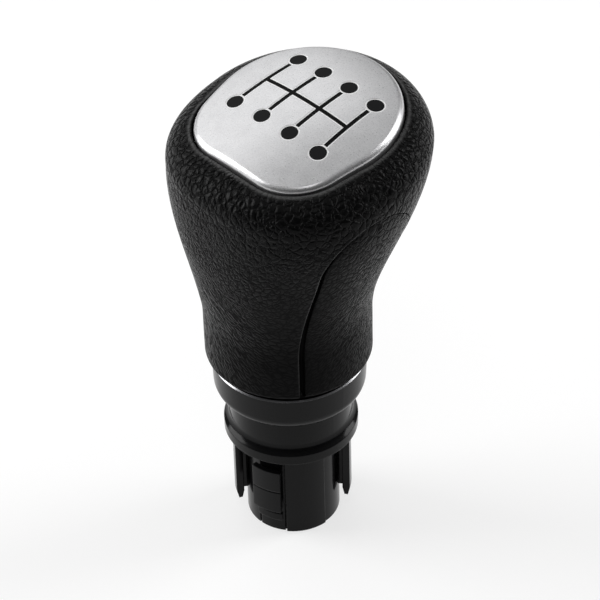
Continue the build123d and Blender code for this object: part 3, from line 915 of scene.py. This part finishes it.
# Finishes of the pieces that keep their solids' shapes
FINISHES = {
    "pattern_dots": (dot_black, "print"),
    "pattern_lines": (line_black, "print"),
    "plate_carrier": (core_black, "black_plastic"),
    "carrier_screws": (spring_steel, "steel"),
    "knob_core": (core_black, "core_plastic"),
    "lower_trim_ring": (trim_black, "black_plastic"),
    "lift_collar": (satin_black, "black_plastic"),
    "spring_washer": (spring_steel, "steel"),
    "collar_retaining_ring": (spring_steel, "steel"),
    "lever_bush": (turned_metal, "bush_metal"),
    "lever_grip_ring": (spring_steel, "steel"),
}
for node, (finish, slot) in FINISHES.items():
    nodes[node].data.materials.clear()
    nodes[node].data.materials.append(finish)


# Spring, shown as a copy with its own mesh


def spring_copy(node, material):
    """Copy of the spring, with a mesh of its own."""
    mesh = nodes[node].data.copy()
    mesh.materials.clear()
    mesh.materials.append(material)
    piece = bpy.data.objects.new(node + "_shown", mesh)
    bpy.context.scene.collection.objects.link(piece)
    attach(piece, "head")
    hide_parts(node)
    return piece


spring = spring_copy("return_spring", spring_steel)
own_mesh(spring)


# Floor, light and camera, in metres
MIDDLE = (0, 0, 0.06)
NEAR = (0.7246, -0.6891, 0.0)
FLOOR_HALF = 3.0
FLOOR_TONE = (0.42, 0.42, 0.42, 1)
FLOOR_GLOW = 0.62
WHITE = (1, 1, 1, 1)
SKY_HEIGHTS = (0.0, 0.9)
SKY_LIGHT = (0.12, 0.45)
SHADE_SPAN = (-0.1, 0.6)
FAR_TO_NEAR_SHADE = (1.0, 0.2)

# Lamps: metres to the photograph's right, towards the camera and up, then width, height and watts
LAMPS = {
    "lamp_left": ((-1.15, -0.2, 0.6), 0.7, 1.0, 12.3),
    "lamp_right": ((1.1, -0.35, 0.6), 0.5, 1.0, 8.8),
    "lamp_back": ((-0.6, -1.0, 0.95), 1.5, 1.2, 4.4),
    "lamp_top": ((-0.05, 0.5, 1.1), 0.3, 0.3, 0.8),
}

# Camera: the direction it looks from, its roll, and how far it is from what it looks at
CAMERA_AZIMUTH = math.radians(-42.5)
CAMERA_ELEVATION = math.radians(40.0)
CAMERA_ROLL = math.radians(-1.628)
CAMERA_DISTANCE = 0.64
CAMERA_AIM = Vector((0.004044, -0.000073, 0.061278))
LENS_MM = 180.0
SENSOR_MM = 36.0
CLIP_FROM, CLIP_TO = 0.01, 20.0


def make_floor():
    """Pale floor that is white to the camera and in reflections, and keeps the shadow."""
    mesh = bpy.data.meshes.new("floor")
    corners = [(x * FLOOR_HALF, y * FLOOR_HALF, 0) for x, y in ((-1, -1), (1, -1), (1, 1), (-1, 1))]
    mesh.from_pydata(corners, [], [(0, 1, 2, 3)])
    material = bpy.data.materials.new("floor_paint")
    material.use_nodes = True
    tree = material.node_tree
    tree.nodes.clear()
    paths = add_node(tree, "ShaderNodeLightPath")
    plain = add_node(tree, "ShaderNodeBsdfDiffuse", {"Color": FLOOR_TONE})
    mirrored = calculate(tree, "ADD", paths.outputs["Is Glossy Ray"], paths.outputs["Is Transmission Ray"])
    seen = calculate(tree, "ADD", paths.outputs["Is Camera Ray"], mirrored)
    strength = calculate(tree, "MULTIPLY", seen, FLOOR_GLOW)
    glow = add_node(tree, "ShaderNodeEmission", {"Color": WHITE}, {"Strength": strength})
    both = add_node(tree, "ShaderNodeAddShader", links={0: plain.outputs[0], 1: glow.outputs[0]})
    add_node(tree, "ShaderNodeOutputMaterial", links={"Surface": both.outputs[0]})
    mesh.materials.append(material)
    floor = bpy.data.objects.new("floor", mesh)
    bpy.context.scene.collection.objects.link(floor)


def make_world():
    """Soft grey surroundings: paler overhead, dark on the photograph's near side."""
    world = bpy.data.worlds.new("studio")
    bpy.context.scene.world = world
    world.use_nodes = True
    tree = world.node_tree
    way = add_node(tree, "ShaderNodeTexCoord").outputs["Generated"]
    parts = add_node(tree, "ShaderNodeSeparateXYZ", links={0: way})
    level = remap(tree, parts.outputs["Z"], SKY_HEIGHTS, SKY_LIGHT, smooth=True)
    near = add_node(tree, "ShaderNodeVectorMath", {1: NEAR}, {0: way}, operation="DOT_PRODUCT")
    shade = remap(tree, near.outputs["Value"], SHADE_SPAN, FAR_TO_NEAR_SHADE, smooth=True)
    sky = tree.nodes["Background"]
    tree.links.new(calculate(tree, "MULTIPLY", level, shade), sky.inputs["Strength"])
    sky.inputs["Color"].default_value = WHITE


def add_lamp(name, place, width, height, power):
    """Soft area lamp aimed at the knob's middle."""
    right, near, up = place
    lamp = bpy.data.lights.new(name, "AREA")
    lamp.shape = "RECTANGLE"
    lamp.size, lamp.size_y, lamp.energy = width, height, power
    holder = bpy.data.objects.new(name, lamp)
    holder.location = (NEAR[0] * near - NEAR[1] * right, NEAR[1] * near + NEAR[0] * right, up)
    holder.rotation_mode = "QUATERNION"
    holder.rotation_quaternion = (Vector(MIDDLE) - holder.location).to_track_quat("-Z", "Y")
    bpy.context.scene.collection.objects.link(holder)


def make_camera():
    """Camera where the photograph was taken from."""
    flat = math.cos(CAMERA_ELEVATION)
    x, y = math.cos(CAMERA_AZIMUTH), math.sin(CAMERA_AZIMUTH)
    back = Vector((flat * x, flat * y, math.sin(CAMERA_ELEVATION)))
    level_right = Vector((-y, x, 0.0))
    level_up = back.cross(level_right)
    right = math.cos(CAMERA_ROLL) * level_right + math.sin(CAMERA_ROLL) * level_up
    turn = Matrix((right, back.cross(right), back)).transposed().to_4x4()
    lens = bpy.data.cameras.new("camera")
    lens.sensor_width = SENSOR_MM
    lens.lens = LENS_MM
    lens.clip_start, lens.clip_end = CLIP_FROM, CLIP_TO
    camera = bpy.data.objects.new("camera", lens)
    camera.matrix_world = Matrix.Translation(CAMERA_AIM + CAMERA_DISTANCE * back) @ turn
    bpy.context.scene.collection.objects.link(camera)
    bpy.context.scene.camera = camera


make_floor()
make_world()
for lamp_name, settings in LAMPS.items():
    add_lamp(lamp_name, *settings)
make_camera()

bpy.context.scene.view_settings.view_transform = "Standard"
